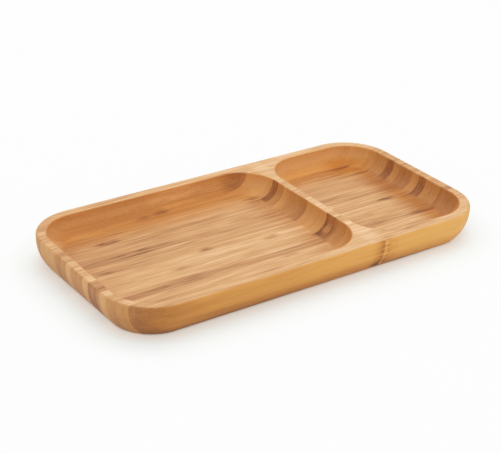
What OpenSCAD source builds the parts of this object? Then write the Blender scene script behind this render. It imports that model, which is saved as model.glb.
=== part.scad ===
// Serving tray with a long and a short compartment, milled from a blank of upright bamboo strips.
// The strips run the whole length, stand on edge and are glued face to face from front to back.
// Origin: middle of the base. X runs along the strips, Y from front to back and Z up.

/* [Tray] */
// Overall length, along the strips
tray_l = 300; // [240:1:360]
// Overall width, front to back
tray_w = 155; // [150:0.5:165]
// Overall height
tray_h = 24; // [22:0.5:29]
// Radius of the outer corners, seen from above
corner_r = 36.5; // [30:0.5:45]
// Radius of the rounded edge along the top of the rim
top_round_r = 2; // [1:0.1:3]
// Height of the upright band along the top of the side, with its rounded edge
upright_h = 4; // [3.5:0.1:7]
// Radius of the curve from the upright band in to the base
side_curve_r = 28; // [26:0.5:40]
// Radius of the edge between the curved side and the base
base_round_r = 1.5; // [0.5:0.1:2.5]

/* [Compartments] */
// Width of the rim at the end of the long compartment
long_end_rim_w = 7; // [5:0.1:12]
// Width of the rim at the end of the short compartment
short_end_rim_w = 8; // [5:0.1:12]
// Width of the rims along the front and the back
side_rim_w = 8.5; // [6:0.1:12]
// Width of the divider between the compartments
divider_w = 7; // [5:0.1:12]
// Share of the free length that the long compartment takes
long_compartment_share = 0.667; // [0.55:0.001:0.72]
// Depth of both compartments
compartment_d = 13.5; // [13.3:0.1:16]
// Radius of the compartments' corners, seen from above
compartment_corner_r = 28; // [20:0.5:31]
// Radius of the cove between wall and floor
cove_r = 12; // [8:0.1:12.5]
// Radius of the eased edge round each compartment's mouth
mouth_round_r = 0.8; // [0.3:0.1:1.2]

/* [Strips] */
// Thickness of each of the two edge strips, at its thickest
edge_strip_t = 6.3; // [5:0.1:8]
// Thickness of each inner strip from front to back, as a share. Together they fill what is left
strip_t_shares = [1.2, 1.15, 1.1, 1.05, 0.9, 1.15, 1, 1.05, 1.05, 0.95,
                  0.95, 0.95, 1.05, 1, 0.9, 0.95, 1.1, 0.95, 0.8]; // [0.7:0.05:1.3]

/* [Colours] */
// Colour of the palest strips
pale_bamboo = "#e8c493"; // ["#e8c493", "#f0d3a8"]
// Colour of the most common strips
honey_bamboo = "#ddb27c"; // ["#ddb27c", "#e3bb88"]
// Colour of the pinkish strips
peach_bamboo = "#d9a678"; // ["#d9a678", "#e0b088"]
// Colour of the darkest strips
brown_bamboo = "#b98354"; // ["#b98354", "#c69062"]

/* [Hidden] */
$fn = 64;
inner_count = len(strip_t_shares);
inner_strips = [0 : inner_count - 1];
function strip_name(i) = str("strip_", i < 8 ? "0" : "", i + 2);

// Cuts run past the faces that they open by this much
overrun = mouth_round_r;

// Places along the tray
free_l = tray_l - long_end_rim_w - short_end_rim_w - divider_w;
long_l = free_l * long_compartment_share;
short_l = free_l - long_l;
long_centre_x = (long_l - tray_l) / 2 + long_end_rim_w;
short_centre_x = (tray_l - short_l) / 2 - short_end_rim_w;
compartment_w = tray_w - 2 * side_rim_w;
floor_z = tray_h - compartment_d;

// Front face of inner strip i. The inner strips count from 0 and lie centred on the tray
inner_strips_w = tray_w - 2 * edge_strip_t;
function shares_before(i) = i == 0 ? 0 : shares_before(i - 1) + strip_t_shares[i - 1];
function strip_front_y(i) = inner_strips_w * (shares_before(i) / shares_before(inner_count) - 1 / 2);

// The side's curve starts level with its centre, and touches the base edge's round from outside
side_curve_h = tray_h - upright_h;
side_curve_x = corner_r - side_curve_r;
base_round_x = side_curve_x
    + sqrt(pow(side_curve_r - base_round_r, 2) - pow(side_curve_h - base_round_r, 2));
side_curve_end_angle = atan2(base_round_r - side_curve_h, base_round_x - side_curve_x);

// What lies outside a round of radius r, between the directions from_angle and to_angle
module round_waste(r, from_angle, to_angle) {
    reach = 2 * r;
    difference() {
        polygon([[0, 0],
                 [reach * cos(from_angle), reach * sin(from_angle)],
                 [reach * cos(to_angle), reach * sin(to_angle)]]);
        circle(r);
    }
}

// Half outline of the blank, upright, measured out from the axis of its corners
module blank_outline() {
    difference() {
        union() {
            translate([0, side_curve_h])
                square([corner_r, upright_h]);
            intersection() {
                translate([side_curve_x, side_curve_h])
                    circle(side_curve_r);
                square([corner_r, side_curve_h]);
            }
        }
        translate([corner_r - top_round_r, tray_h - top_round_r])
            round_waste(top_round_r, 0, 90);
        translate([base_round_x, base_round_r])
            round_waste(base_round_r, -90, side_curve_end_angle);
    }
}

// Half outline of a compartment, upright, measured out from the axis of its corners
module compartment_outline() {
    cove_x = compartment_corner_r - cove_r;
    translate([0, floor_z])
        square([cove_x, compartment_d + overrun]);
    intersection() {
        translate([cove_x, floor_z + cove_r])
            circle(cove_r);
        translate([cove_x, floor_z])
            square(cove_r);
    }
    translate([cove_x, floor_z + cove_r])
        square([cove_r, compartment_d - cove_r + overrun]);
    difference() {
        translate([compartment_corner_r, tray_h - mouth_round_r])
            square([mouth_round_r, mouth_round_r + overrun]);
        translate([compartment_corner_r + mouth_round_r, tray_h - mouth_round_r])
            circle(mouth_round_r);
    }
}

// Carries a half outline round a rectangle with rounded corners, and fills the middle
module carry_round(size_x, size_y, round_r, low_z, high_z) {
    straight_x = size_x - 2 * round_r;
    straight_y = size_y - 2 * round_r;
    translate([-straight_x / 2, -straight_y / 2, low_z])
        cube([straight_x, straight_y, high_z - low_z]);
    for (turn = [0, 180])
        rotate([0, 0, turn]) {
            translate([straight_x / 2, straight_y / 2, 0]) {
                rotate([90, 0, 0])
                    linear_extrude(straight_y)
                        children();
                rotate_extrude(angle = 90)
                    children();
            }
            translate([-straight_x / 2, straight_y / 2, 0]) {
                rotate([90, 0, 90])
                    linear_extrude(straight_x)
                        children();
                rotate([0, 0, 90])
                    rotate_extrude(angle = 90)
                        children();
            }
        }
}

module blank() {
    carry_round(tray_l, tray_w, corner_r, 0, tray_h)
        blank_outline();
}

module compartment(centre_x, size_x) {
    translate([centre_x, 0, 0])
        carry_round(size_x, compartment_w, compartment_corner_r, floor_z, tray_h + overrun)
            compartment_outline();
}

// The slice of the finished tray between two places from front to back
module tray_slice(front_y, back_y) {
    difference() {
        intersection() {
            blank();
            translate([-tray_l / 2 - overrun, front_y, -overrun])
                cube([tray_l + 2 * overrun, back_y - front_y, tray_h + 2 * overrun]);
        }
        compartment(long_centre_x, long_l);
        compartment(short_centre_x, short_l);
    }
}

// The edge strips carry the curved front and back sides
module front_edge_strip() {
    color(honey_bamboo)
        tray_slice(-tray_w / 2 - overrun, strip_front_y(0));
}

module back_edge_strip() {
    color(peach_bamboo)
        tray_slice(strip_front_y(inner_count), tray_w / 2 + overrun);
}

// Colours of the inner strips, from front to back
inner_colours = [brown_bamboo, peach_bamboo, honey_bamboo, pale_bamboo, brown_bamboo,
                 peach_bamboo, pale_bamboo, honey_bamboo, honey_bamboo, pale_bamboo,
                 peach_bamboo, honey_bamboo, honey_bamboo, pale_bamboo, peach_bamboo,
                 brown_bamboo, honey_bamboo, pale_bamboo, honey_bamboo];

// An inner strip carries its part of both end rims, the divider and both floors
module inner_strip(i) {
    color(inner_colours[i])
        tray_slice(strip_front_y(i), strip_front_y(i + 1));
}

front_edge_strip();
for (i = inner_strips)
    inner_strip(i);
back_edge_strip();
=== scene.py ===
import math

import bmesh
import bpy
from mathutils import Matrix, Vector


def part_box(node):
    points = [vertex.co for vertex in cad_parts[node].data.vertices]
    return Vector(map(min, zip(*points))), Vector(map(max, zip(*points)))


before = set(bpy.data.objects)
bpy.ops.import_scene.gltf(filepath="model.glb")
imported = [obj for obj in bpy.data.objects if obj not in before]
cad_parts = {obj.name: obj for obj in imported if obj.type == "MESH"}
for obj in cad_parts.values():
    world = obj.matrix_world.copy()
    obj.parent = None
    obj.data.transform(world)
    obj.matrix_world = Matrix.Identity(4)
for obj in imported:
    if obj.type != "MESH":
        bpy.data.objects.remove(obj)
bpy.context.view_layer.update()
scene = bpy.context.scene
scene.view_settings.view_transform = "Standard"

# Camera
# It stands in front of the tray's long compartment, a little left of it and well above the rim,
# and leans by two degrees, as in the photograph.
camera_turn = math.radians(-35.69)
camera_rise = math.radians(26.76)
camera_lean = math.radians(1.99)
camera_distance = 0.950
camera_aim = Vector((-0.01655, -0.01192, 0.024))
camera_lens = 98.78
film_width = 36
nearest_seen = 0.01
back = Vector((
    math.sin(camera_turn) * math.cos(camera_rise),
    -math.cos(camera_turn) * math.cos(camera_rise),
    math.sin(camera_rise)))
level = Vector((0, 0, 1)).cross(back).normalized()
upright = back.cross(level)
right = math.cos(camera_lean) * level + math.sin(camera_lean) * upright
up = math.cos(camera_lean) * upright - math.sin(camera_lean) * level
camera = bpy.data.objects.new("camera", bpy.data.cameras.new("camera"))
camera.data.sensor_width = film_width
camera.data.lens = camera_lens
camera.data.clip_start = nearest_seen
camera.matrix_world = (Matrix.Translation(camera_aim + camera_distance * back)
                       @ Matrix((right, up, back)).transposed().to_4x4())
scene.collection.objects.link(camera)
scene.camera = camera


# Floor
# A matt white table top, far larger than the view. The camera sees it nearly white, while the
# light that it throws back on the tray's sides is that of a plain pale surface. Near the tray the
# camera sees painted colour: warm as painted bounce light from the wood, then greyer as painted
# shade, and less of the plain white there, which keeps the tray's shadow.
class Shade:
    """One output of a shader node. A sum on it adds its Math node to the same material."""

    def __init__(self, tree, output=None):
        self.tree = tree
        self.output = output

    def node(self, kind, settings=None, inputs=None, output=0):
        """Adds a node: first its settings, then its sockets' values or links, by name or place."""
        made = self.tree.nodes.new("ShaderNode" + kind)
        for name, value in (settings or {}).items():
            if name == "stops":
                ramp = made.color_ramp
                while len(ramp.elements) < len(value):
                    ramp.elements.new(0.5)
                for stop, (place, colour) in zip(ramp.elements, value):
                    stop.position = place
                    stop.color = colour
            else:
                setattr(made, name, value)
        for name, value in (inputs or {}).items():
            if isinstance(value, Shade):
                self.tree.links.new(value.output, made.inputs[name])
            else:
                made.inputs[name].default_value = value
        return Shade(self.tree, made.outputs[output] if made.outputs else None)

    def math(self, operation, *values):
        """Adds a Math node on those values."""
        inputs = {place: value for place, value in enumerate(values)}
        return self.node("Math", {"operation": operation}, inputs)

    def __add__(self, other):
        return self.math("ADD", self, other)

    def __sub__(self, other):
        return self.math("SUBTRACT", self, other)

    def __rsub__(self, other):
        return self.math("SUBTRACT", other, self)

    def __mul__(self, other):
        return self.math("MULTIPLY", self, other)

    def __truediv__(self, other):
        return self.math("DIVIDE", self, other)

    def __pow__(self, other):
        return self.math("POWER", self, other)

    __radd__ = __add__
    __rmul__ = __mul__

    def size(self):
        """The number without its sign."""
        return self.math("ABSOLUTE", self)

    def larger(self, other):
        """The larger of the two numbers."""
        return self.math("MAXIMUM", self, other)

    def axis(self, letter):
        """One of a vector's three numbers."""
        return self.node("SeparateXYZ", inputs={0: self}, output=letter)

    def rise(self, low, high):
        """A soft step from 0 at low to 1 at high, or down again where high is the lower."""
        return self.node("MapRange", {"interpolation_type": "SMOOTHSTEP"},
                         {"Value": self, "From Min": low, "From Max": high})

    def span(self, start, full, lessening, end):
        """A soft stretch: 0 up to the start, 1 from full to lessening, and 0 from the end."""
        return self.rise(start, full) * self.rise(end, lessening)

    def between(self, first, second):
        """The first number where this is 0 and the second where it is 1."""
        return first + self * (second - first)

    def blend(self, first, second, how="MIX"):
        """The first colour where this is 0 and the second where it is 1."""
        return self.node("Mix", {"data_type": "RGBA", "blend_type": how},
                         {"Factor": self, "A": first, "B": second}, "Result")

    def tint(self, first, second):
        """The first colour where this is 0, and times the second where it is 1."""
        return self.blend(first, second, "MULTIPLY")

    def seen_background(self):
        """1 for a ray that ends in the picture, straight or mirrored, and 0 for stray light."""
        return (self.node("LightPath", output="Is Camera Ray")
                + self.node("LightPath", output="Is Glossy Ray")
                + self.node("LightPath", output="Is Transmission Ray"))


def new_material(name):
    material = bpy.data.materials.new(name)
    material.use_nodes = True
    material.node_tree.nodes.clear()
    return material, Shade(material.node_tree)


floor_half = 4
floor_drop = 0.0002
floor_paint = (0.945, 0.985, 0.98, 1)
floor_white = (0.985, 0.985, 0.985, 1)
# Seen near the tray: a greyer painted shade, and by the tray a warm painted bounce from the wood
painted_floor_shade = (0.962, 0.99, 0.968, 1)
painted_bounce_by_tray = (0.94, 0.85, 0.76, 1)
# The outline of the tray's base
base_half_l = 0.1416
base_half_w = 0.0691
base_corner_r = 0.0281
# How far from that outline the floor's look changes: each from where a change starts to where it
# is full
contact_line_edge = (-0.0015, 0.0015)
bounce_reach = (0, 0.014)
shade_reach = (0.012, 0.032)
shadow_reach = (0.01, 0.045)
# The share of the floor that the camera sees in its plain colour, in the tray's shadow and outside.
# None of it at the tray's base paints a dark contact line there
plain_in_shadow = 0.52
plain_outside = 0.92
floor_mesh = bmesh.new()
bmesh.ops.create_grid(floor_mesh, x_segments=1, y_segments=1, size=floor_half)
bmesh.ops.translate(floor_mesh, verts=floor_mesh.verts, vec=(0, 0, -floor_drop))
floor = bpy.data.objects.new("floor", bpy.data.meshes.new("floor"))
floor_mesh.to_mesh(floor.data)
floor_mesh.free()
scene.collection.objects.link(floor)
floor_material, shade = new_material("matt_white")
place = shade.node("TexCoord", output="Object")
past_x = (place.axis("X").size() - (base_half_l - base_corner_r)).larger(0)
past_y = (place.axis("Y").size() - (base_half_w - base_corner_r)).larger(0)
gap = (past_x * past_x + past_y * past_y) ** 0.5 - base_corner_r
# Painted bounce light by the tray, then painted shade, then white further out
painted_near_colour = gap.rise(*bounce_reach).blend(painted_bounce_by_tray, painted_floor_shade)
seen_colour = gap.rise(*shade_reach).blend(painted_near_colour, floor_white)
seen_share = gap.rise(*shadow_reach).between(plain_in_shadow, plain_outside)
# No plain white at the tray's base: a painted dark contact line
seen_share *= gap.rise(*contact_line_edge) * shade.seen_background()
matt = shade.node("BsdfDiffuse", inputs={"Color": floor_paint})
plain = shade.node("Emission", inputs={"Color": seen_colour, "Strength": 1.0})
surface = shade.node("MixShader", inputs={"Fac": seen_share, 1: matt, 2: plain})
shade.node("OutputMaterial", inputs={"Surface": surface})
floor.data.materials.append(floor_material)

# Light
# A large soft box hangs over the tray, behind it and to its right, in a pale room that fills
# the shadows. The room is white where the camera looks past the table.
room_colour = (1, 1, 1, 1)
room_strength = 0.83
box_power = 15.5
box_size = 2.0
box_place = Vector((0.58, 0.6, 2.4))
world = bpy.data.worlds.new("room")
world.use_nodes = True
world.node_tree.nodes.clear()
room = Shade(world.node_tree)
room_level = room.seen_background().between(room_strength, 1)
room_light = room.node("Background", inputs={"Color": room_colour, "Strength": room_level})
room.node("OutputWorld", inputs={"Surface": room_light})
scene.world = world
soft_box = bpy.data.objects.new("soft_box", bpy.data.lights.new("soft_box", "AREA"))
soft_box.data.size = box_size
soft_box.data.energy = box_power
soft_box.location = box_place
soft_box.rotation_euler = box_place.to_track_quat("Z", "Y").to_euler()
scene.collection.objects.link(soft_box)


# Strips
# The tray is one blank of bamboo strips that stand on edge and run its whole length. They are
# glued face to face, milled to shape together, sanded and oiled.
def colour(red, green, blue):
    """A colour as it is named for screens, 0 to 255, in the light values that shaders use."""
    shares = [value / 255 for value in (red, green, blue)]
    return (*[s / 12.92 if s <= 0.04045 else ((s + 0.055) / 1.055) ** 2.4 for s in shares], 1)


tone_depths = (0, 0.3, 0.5, 0.7, 0.85, 1)


def wood_tones(*colours):
    """A ramp from the palest wood, at a depth of 0, to the darkest, at a depth of 1."""
    return list(zip(tone_depths, [colour(*named) for named in colours]))


# Oiled bamboo cut along the fibres, cut across them, on the flat face that lies under the
# stem's skin, and on the long walls of the compartments
along_fibres = wood_tones((246, 208, 166), (225, 178, 124), (210, 157, 103),
                          (188, 133, 83), (158, 104, 60), (118, 72, 40))
across_fibres = wood_tones((224, 170, 113), (208, 152, 95), (197, 140, 84),
                           (179, 120, 72), (157, 98, 55), (126, 73, 41))
under_skin = wood_tones((245, 193, 108), (232, 169, 85), (209, 141, 64),
                        (176, 111, 50), (138, 84, 40), (100, 60, 30))
on_long_walls = wood_tones((243, 190, 122), (228, 163, 96), (206, 138, 74),
                           (176, 110, 57), (138, 84, 44), (100, 60, 32))
depths = {"ivory": 0.08, "pale": 0.2, "honey": 0.32, "amber": 0.44, "russet": 0.56, "brown": 0.70,
          "dark": 0.88}

# For each strip: the tones of its long faces near the left end, in the middle and near the right
# end, the tones of its cut ends at the left end and at the right walls of the two compartments,
# its knuckles as (place along X, place across from -0.5 to 0.5, length, depth), and its dark
# streaks as (start, end, place across), in millimetres along X
strips = {
    "front_edge_strip": ("amber honey honey", "brown russet russet", [], []),
    "strip_02": ("amber honey honey", "brown russet russet", [(82, 0.3, 60, 0.5)], []),
    "strip_03": ("honey honey honey", "amber amber amber", [], []),
    "strip_04": ("russet honey honey", "amber amber brown", [], [(78, 126, 0.42)]),
    "strip_05": ("amber honey honey", "ivory russet brown", [(-2, 0.3, 18, 0.35)], []),
    "strip_06": ("brown russet russet", "russet brown brown",
                 [(-98, 0.4, 9, 0.2), (56, 0, 24, -0.3), (116, 0, 24, 0.3)],
                 [(78, 116, 0.1)]),
    "strip_07": ("amber honey amber", "brown dark russet",
                 [(31, 0.2, 9, 0.35), (39, -0.1, 6, -0.5)],
                 [(-130, 0, -0.3)]),
    "strip_08": ("amber honey amber", "ivory honey russet",
                 [(-76, 0.3, 22, 0.3), (85, -0.1, 12, 0.2)], []),
    "strip_09": ("amber pale honey", "amber honey dark", [(3, 0, 18, 0.5)], []),
    "strip_10": ("amber honey amber", "amber honey amber",
                 [(-47, 0, 15, 0.45), (113, -0.1, 20, 0.5)], []),
    "strip_11": ("russet amber amber", "ivory brown brown",
                 [(-122, -0.1, 18, 0.3), (67, 0, 7, -0.25)], []),
    "strip_12": ("russet amber russet", "amber russet brown", [], [(-60, 20, 0.2)]),
    "strip_13": ("brown russet amber", "russet russet russet",
                 [(-84, 0.1, 16, 0.15)],
                 [(-132, -10, -0.42), (-132, -84, 0.2), (66, 104, -0.1)]),
    "strip_14": ("russet amber amber", "pale honey dark", [(-2, -0.3, 30, 0.2)], []),
    "strip_15": ("russet russet amber", "pale russet russet", [], []),
    "strip_16": ("russet honey amber", "pale dark russet",
                 [(-100, 0, 28, 0.6), (26, 0.3, 20, 0.3)], []),
    "strip_17": ("russet honey amber", "amber pale honey",
                 [(27, 0, 24, 0.6), (69, 0.3, 12, 0.2)], []),
    "strip_18": ("honey honey amber", "pale pale ivory", [(118, 0.25, 22, 0.35)], []),
    "strip_19": ("honey honey honey", "honey pale pale",
                 [(-60, -0.35, 16, 0.3), (-44, -0.2, 18, 0.3), (-28, 0.35, 44, -0.15),
                  (120, -0.2, 16, 0.15)], []),
    "strip_20": ("honey honey honey", "amber honey pale",
                 [(-30, 0, 50, -0.2), (4, -0.25, 26, -0.08)], []),
    "back_edge_strip": ("honey honey honey", "amber amber amber",
                        [(-92, -0.35, 44, 0.2)], []),
}
long_stations = (-120, -10, 110)
cut_stations = (-150, 36, 137)
# The tones of the tray's front side, on the two strips that carry it. They come from one cane, so
# that the seam between them is hard to see
side_tones = {"front_edge_strip": "brown amber pale", "strip_02": "brown amber pale"}
side_stations = (-138, -92, 110)
# How far the cut ends darken to the strip's back face, or with a minus to its front face, as the
# face that lay under the stem's skin is the darkest
skin_faces = {"strip_06": 0.45, "strip_07": 0.15, "strip_14": -0.25}
usual_skin_face = -0.1
# Where a ring of the cane crosses the tray's front and back side
rings = {"front_edge_strip": 52, "back_edge_strip": -66}
# Which face has a glue line that shows, 1 for the back face and -1 for the front face, on the
# strips where only one does. The others show both
glue_sides = {"front_edge_strip": 1, "strip_02": 1, "back_edge_strip": -1}

# Places on the tray in millimetres. A pair is for the long compartment and for the short one
millimetres = 1000
tray_half_l = 150
compartment_middles = (-50.3, 95.7)
compartment_half_w = 69
right_walls = (42.4, 142)
divider_x = 46
# Places across a strip run from minus this at its front face to this at its back face
strip_face = 0.5
noise_middle = 0.5


def tone(x, stations, words):
    """The depth of tone along a strip: as named at those places along X, and even between."""
    stops = [((station + tray_half_l) / (2 * tray_half_l), (depths[word],) * 3 + (1,))
             for station, word in zip(stations, words.split())]
    along = (x + tray_half_l) / (2 * tray_half_l)
    return x.node("ValToRGB", {"stops": stops}, {0: along})


def grain(place, seed, sizes, detail=1):
    """Noise around 0 whose marks are about those sizes along X, Y and Z, in millimetres."""
    stretch = [1 / size for size in sizes]
    shrunk = place.node("VectorMath", {"operation": "MULTIPLY"}, {0: place, 1: stretch})
    moved = place.node("VectorMath", {"operation": "ADD"}, {0: shrunk, 1: (seed, 2 * seed, seed)})
    return place.node("TexNoise", inputs={
        "Vector": moved, "Scale": 1.0, "Detail": detail}) - noise_middle


# How a surface slopes, as the level part of its normal. What looks inward is that part times the
# distance from the compartment's middle
cut_upright = (0.1, 0.85)
cut_across = (0.05, 0.95)
looks_right = (0, 0.4)
looks_inward = (0, 21)
hardly_sloped = 0.0001


def surface_cut(shade, x, y, past_divider):
    """Where the surface faces into a cove, is upright, is cut across, and looks right in a cove."""
    facing = shade.node("NewGeometry", output="Normal")
    facing_x, facing_y = facing.axis("X"), facing.axis("Y")
    slope = (facing_x * facing_x + facing_y * facing_y) ** 0.5
    across = (facing_x * facing_x / (slope * slope + hardly_sloped)).rise(*cut_across)
    from_cove_middle = x - past_divider.between(*compartment_middles)
    in_cove = (0 - facing_x * from_cove_middle - facing_y * y).rise(*looks_inward)
    return (in_cove, in_cove.larger(slope.rise(*cut_upright)), across,
            in_cove * facing_x.rise(*looks_right))


# A knuckle's uneven edge, and how a streak fades across it and at its two ends
wobble_size = (14, 1.8, 1.8)
wobble_reach = 1.2
knuckle_edge = (1.15, 0.2)
streak_edge = (0.2, 0.02)
streak_start_fade = 8
streak_end_fade = 16


def knuckle_spots(place, x, from_middle, seed, knuckles):
    """Uneven round spots, each as deep as its knuckle in the middle."""
    spots = []
    for knuckle_x, knuckle_side, length, depth in knuckles:
        wobble = grain(place, seed + knuckle_x, wobble_size) * wobble_reach
        off_x = (x - knuckle_x) / (length / 2) + wobble
        off_y = (from_middle - knuckle_side) / strip_face + wobble
        off_knuckle = (off_x * off_x + off_y * off_y) ** 0.5
        spots.append(off_knuckle.rise(*knuckle_edge) * depth)
    return sum(spots)


def streak_lines(x, from_middle, dark_streaks):
    """Thin lines along the fibres, which fade in and out."""
    lines = []
    for start_x, end_x, streak_side in dark_streaks:
        along = x.span(start_x - streak_start_fade, start_x + streak_start_fade,
                       end_x - streak_end_fade, end_x + streak_end_fade)
        lines.append(along * (from_middle - streak_side).size().rise(*streak_edge))
    return sum(lines)


# How the fibres run: how far they wander, and how far they swell round a knuckle
wander_size = (45, 22, 22)
wander_reach = 2.6
knuckle_swell = 4
# The fibres themselves, fine, middling and broad, by their sizes along X, Y and Z and by how far
# they deepen the tone. On upright faces they are calmer, and the darkest middling ones stand out
fine_size = (17, 0.6, 0.6)
fine_depth = 0.34
middling_size = (32, 1.5, 1.5)
middling_depth = 0.5
broad_size = (60, 4, 4)
broad_depth = 0.6
dark_fibre_edge = (0.08, 0.3)
dark_fibre_depth = 0.08
calm_share = 0.25
# The dashes of a knuckle, the streaks, the pores in the coves, the rows of fibre ends where a
# strip is cut across, and the glue lines
dash_size = (9, 1.1, 1.1)
dash_edge = (-0.1, 0.07)
dash_strength = (0.35, 0.85)
streak_depth = 0.06
streak_grain = 0.25
pore_size = (1.8, 0.9, 0.9)
pore_edge = (0.03, 0.25)
pore_depth = 0.1
row_size = (60, 1.1, 11)
row_depth = 0.35
glue_width = 0.3
glue_depth = 0.08

# Painted shade and bounce light, where the back and right walls keep the soft box's light off: in
# the coves, from the feet of the back and right walls inwards, and in the short compartment's back
# corner, the wood is painted deeper and more orange. Each colour is what that painted shade
# leaves of the wood's own there
right_foot = (34, 13)
right_foot_share = (0.45, 1)
back_foot = (38, 12)
below_rim_span = (5, 10, 22.5, 23.9)
back_corner_x = (98, 116)
back_corner_share = (0.2, 0.8)
back_corner_z = (18, 11.5)
long_wall_foot = (17, 12)
painted_shade_on_floor = (0.8, 0.57, 0.29, 1)
painted_bounce_on_cut_walls = (1, 0.93, 0.72, 1)
painted_shade_on_long_walls = (0.93, 0.85, 0.56, 1)
painted_shade_in_back_corner = (0.9, 0.74, 0.36, 1)

# The top: how far the tone of the cut ends shows on the end rims and by the right walls, how
# the rim's far left corner differs, and the divider, painted paler as a painted highlight
left_rim = (-139, -145)
left_rim_cut = 0.6
right_rim = (139, 145)
right_rim_cut = 0.25
right_foot_cut = 0.3
rim_corner_x = (-118, -134)
rim_corner_y = (50, 62)
rim_corner_z = (20, 23)
rim_corner_depth = 0.16
divider_span = (37, 43, 48.5, 54.5)
divider_highlight_depth = -0.1

# The long faces: in the coves of the two compartments, and on the tray's own sides, which are
# darker low down, with painted shade near the floor, though less near their ends
cove_depth = (0.08, -0.1)
cove_foot = (19, 11)
cove_foot_depth = (0.1, 0.04)
side_foot = (9, 1)
side_foot_x = (50, 120)
side_foot_depth = (0.14, 0.04)
side_curve = (13, 8)
side_curve_x = (-120, -80)
side_curve_depth = 0.14

# A cane's ring on a side: a light line among dark dashes, with a dark patch to its left and a
# fainter one to its right
ring_wave_size = (90, 7, 7)
ring_wave_reach = 4
ring_top_edge = (14, 3)
ring_top_depth = 0.12
ring_patch_span = (-13, -3, -2, -0.5)
ring_patch_foot = (9, 4)
ring_patch_depth = (0.2, 0.4)
ring_dash_edge = (7, 1.5)
ring_dash_depth = 0.24
ring_after_span = (1, 3, 9, 13)
ring_after_depth = 0.07
ring_line_edge = (1.1, 0.2)
ring_line_depth = -0.12

# The cut ends: on the walls of the coves, painted paler as painted light, most at their top and
# most on the walls that look right towards the soft box, and on the tray's own ends, which are
# darker low down
short_skin_share = 0.3
cut_cove_depth = -0.05
wall_top = (16, 22)
wall_top_depth = -0.09
painted_light_depth = -0.16
end_foot = (21, 9)
end_foot_depth = 0.16

# Where the wall turns in the back corner of the long compartment, the layer next to the back rim
# is darker and the next one paler. In the short compartment, the first darkens to the right
long_corner_span = (6, 26, 46, 48)
short_corner_x = (116, 130)
back_layer_y = (62.3, 63.1)
back_layer_side_depth = 0.22
back_layer_cut_depth = 0.3
back_layer_short_depth = 0.08
next_layer_y = (44, 56)
next_layer_side_depth = -0.1
next_layer_cut_depth = -0.34

# Sanded and oiled, the wood is nearly matt, and its fibres can just be felt
wood_roughness = 0.55
roughness_grain = 0.25
wood_specular = 0.35
relief_strength = 0.25
relief_height = 0.0002
strip_seed = 7.3


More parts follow.
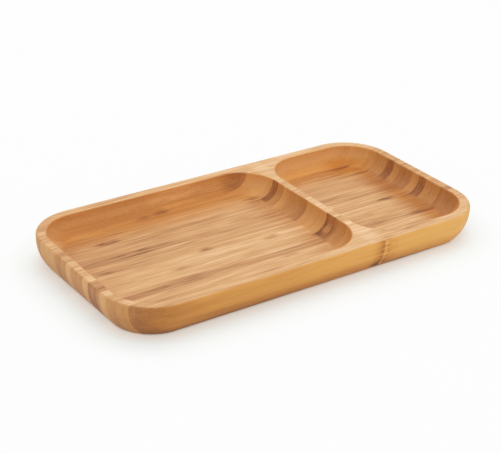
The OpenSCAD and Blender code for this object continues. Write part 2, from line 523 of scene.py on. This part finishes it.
def bamboo(name, long_tones, cut_tones, knuckles, dark_streaks, number):
    """One strip's material. It adds up how deep the tone is, and then looks up the colour."""
    material, shade = new_material("bamboo_" + name)
    low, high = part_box(name)
    if name in side_tones:
        low, high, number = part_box("front_edge_strip")[0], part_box("strip_02")[1], 0
    middle_y = (low.y + high.y) / 2 * millimetres
    thickness = (high.y - low.y) * millimetres
    seed = strip_seed * number

    coordinates = shade.node("TexCoord", output="Object")
    place = shade.node("VectorMath", {"operation": "SCALE"}, {0: coordinates, "Scale": millimetres})
    x, y, z = place.axis("X"), place.axis("Y"), place.axis("Z")
    from_middle = (y - middle_y) / thickness
    past_divider = x.math("GREATER_THAN", x, divider_x)
    in_cove, upright, across, lamp_facing_wall = surface_cut(shade, x, y, past_divider)

    # The fibres wander a little and swell round each knuckle, a cluster of dark dashes. Each kind
    # of mark has a seed of its own
    wander = grain(place, seed + 3, wander_size) * wander_reach
    knuckle = knuckle_spots(place, x, from_middle, seed, knuckles)
    bent_y = y + wander + knuckle * from_middle * knuckle_swell
    bent = shade.node("CombineXYZ", inputs={"X": x, "Y": bent_y, "Z": z + wander})
    lines = streak_lines(x, (bent_y - middle_y) / thickness, dark_streaks)
    fine = grain(bent, seed, fine_size, detail=2)
    middling = grain(bent, seed + 1, middling_size)
    broad = grain(bent, seed + 2, broad_size)
    dashes = grain(place, seed + 4, dash_size).rise(*dash_edge)
    rows = grain(bent, seed + 5, row_size)
    pores = grain(place, seed + 6, pore_size).rise(*pore_edge)
    to_glue = from_middle * glue_sides[name] if name in glue_sides else from_middle.size()
    fibres = fine * fine_depth + middling * middling_depth + broad * broad_depth
    fibres += middling.rise(*dark_fibre_edge) * dark_fibre_depth
    marks = fibres * upright.between(1, calm_share)
    marks += knuckle * dashes.between(*dash_strength)
    marks += lines * (streak_depth + fine * streak_grain)
    marks += to_glue.rise(strip_face - glue_width / thickness, strip_face) * glue_depth
    marks += pores * in_cove * pore_depth

    # The feet of the right and back walls, painted deeper and more orange as painted shade
    below_rim = z.span(*below_rim_span)
    at_right = (past_divider.between(*right_walls) - x).rise(*right_foot)
    at_right *= past_divider.between(*right_foot_share)
    at_back = (compartment_half_w - y).rise(*back_foot)
    foot = at_right.larger(at_back) * below_rim
    # Painted shade low in the short compartment's back corner
    painted_corner_shade = x.rise(*back_corner_x) * at_back.rise(*back_corner_share)
    painted_corner_shade *= z.rise(*back_corner_z) * in_cove.larger(below_rim * (1 - upright))

    # The top, cut along the fibres
    long_depth = tone(x, long_stations, long_tones)
    cut_depth = tone(x, cut_stations, cut_tones)
    like_cut = x.rise(*left_rim) * left_rim_cut + x.rise(*right_rim) * right_rim_cut
    like_cut += at_right * below_rim * right_foot_cut
    rim_corner = x.rise(*rim_corner_x) * y.rise(*rim_corner_y) * z.rise(*rim_corner_z)
    top_depth = long_depth + like_cut * (cut_depth - long_depth) + marks
    top_depth += x.span(*divider_span) * divider_highlight_depth + rim_corner * rim_corner_depth

    # The long faces, in the coves and on the tray's sides
    side_depth = long_depth + marks
    if name in side_tones:
        side_depth += (tone(x, side_stations, side_tones[name]) - long_depth) * (1 - in_cove)
    in_cove_depth = past_divider.between(*cove_depth)
    in_cove_depth += z.rise(*cove_foot) * past_divider.between(*cove_foot_depth)
    # Painted shade low on the tray's sides, near the floor
    on_side_depth = z.rise(*side_foot) * x.rise(*side_foot_x).between(*side_foot_depth)
    on_side_depth += z.rise(*side_curve) * x.rise(*side_curve_x) * side_curve_depth
    side_depth += in_cove.between(on_side_depth, in_cove_depth)
    if name in rings:
        wave = grain(place, seed + 9, ring_wave_size, detail=2) * ring_wave_reach
        off_ring = x - rings[name] - wave
        patch_depth = z.rise(*ring_patch_foot).between(*ring_patch_depth)
        top_depth += off_ring.size().rise(*ring_top_edge) * ring_top_depth
        side_depth += off_ring.span(*ring_patch_span) * patch_depth
        side_depth += off_ring.size().rise(*ring_dash_edge) * dashes * ring_dash_depth
        side_depth += off_ring.span(*ring_after_span) * ring_after_depth
        side_depth += off_ring.size().rise(*ring_line_edge) * ring_line_depth

    # The cut ends, on the walls of the coves and on the tray's ends
    skin_face = skin_faces.get(name, usual_skin_face)
    wall_depth = cut_depth + marks + rows * row_depth
    wall_depth += from_middle * past_divider.between(skin_face, skin_face * short_skin_share)
    # Painted light: the cove walls paler, most at the top and on the walls that look right
    wall_depth += in_cove * (cut_cove_depth + z.rise(*wall_top) * wall_top_depth)
    wall_depth += lamp_facing_wall * painted_light_depth + (1 - in_cove) * z.rise(*end_foot) * end_foot_depth

    # The two layers in the back corners, on the long faces and on the cut ends
    in_long_corner = x.span(*long_corner_span)
    short_corner_depth = x.rise(*short_corner_x) * back_layer_short_depth
    back_layer = y.rise(*back_layer_y) * in_cove
    next_layer = (in_cove - back_layer) * in_long_corner * y.rise(*next_layer_y)
    side_depth += back_layer * (in_long_corner * back_layer_side_depth + short_corner_depth)
    side_depth += next_layer * next_layer_side_depth
    wall_depth += back_layer * (in_long_corner * back_layer_cut_depth + short_corner_depth)
    wall_depth += next_layer * next_layer_cut_depth

    top_colour = shade.node("ValToRGB", {"stops": along_fibres}, {0: top_depth})
    # Painted shade and bounce light tint the floor by the walls, the cove walls and the back corner
    top_colour = foot.tint(top_colour, painted_shade_on_floor)
    skin_colour = shade.node("ValToRGB", {"stops": under_skin}, {0: side_depth})
    wall_colour = shade.node("ValToRGB", {"stops": on_long_walls}, {0: side_depth})
    wall_colour = z.rise(*long_wall_foot).tint(wall_colour, painted_shade_on_long_walls)
    cut_colour = shade.node("ValToRGB", {"stops": across_fibres}, {0: wall_depth})
    cut_colour = (in_cove - lamp_facing_wall).tint(cut_colour, painted_bounce_on_cut_walls)
    upright_colour = across.blend(in_cove.blend(skin_colour, wall_colour), cut_colour)
    wood_colour = upright.blend(top_colour, upright_colour)
    wood_colour = painted_corner_shade.tint(wood_colour, painted_shade_in_back_corner)

    relief = shade.node("Bump", inputs={
        "Strength": relief_strength, "Distance": relief_height, "Height": fine + middling})
    wood = shade.node("BsdfPrincipled", inputs={
        "Base Color": wood_colour, "Roughness": wood_roughness + fine * roughness_grain,
        "Specular IOR Level": wood_specular, "Normal": relief})
    shade.node("OutputMaterial", inputs={"Surface": wood})
    return material


for number, (name, (long_tones, cut_tones, knuckles, dark_streaks)) in enumerate(strips.items()):
    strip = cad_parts[name]
    strip.data.materials.clear()
    strip.data.materials.append(bamboo(name, long_tones, cut_tones, knuckles, dark_streaks, number))
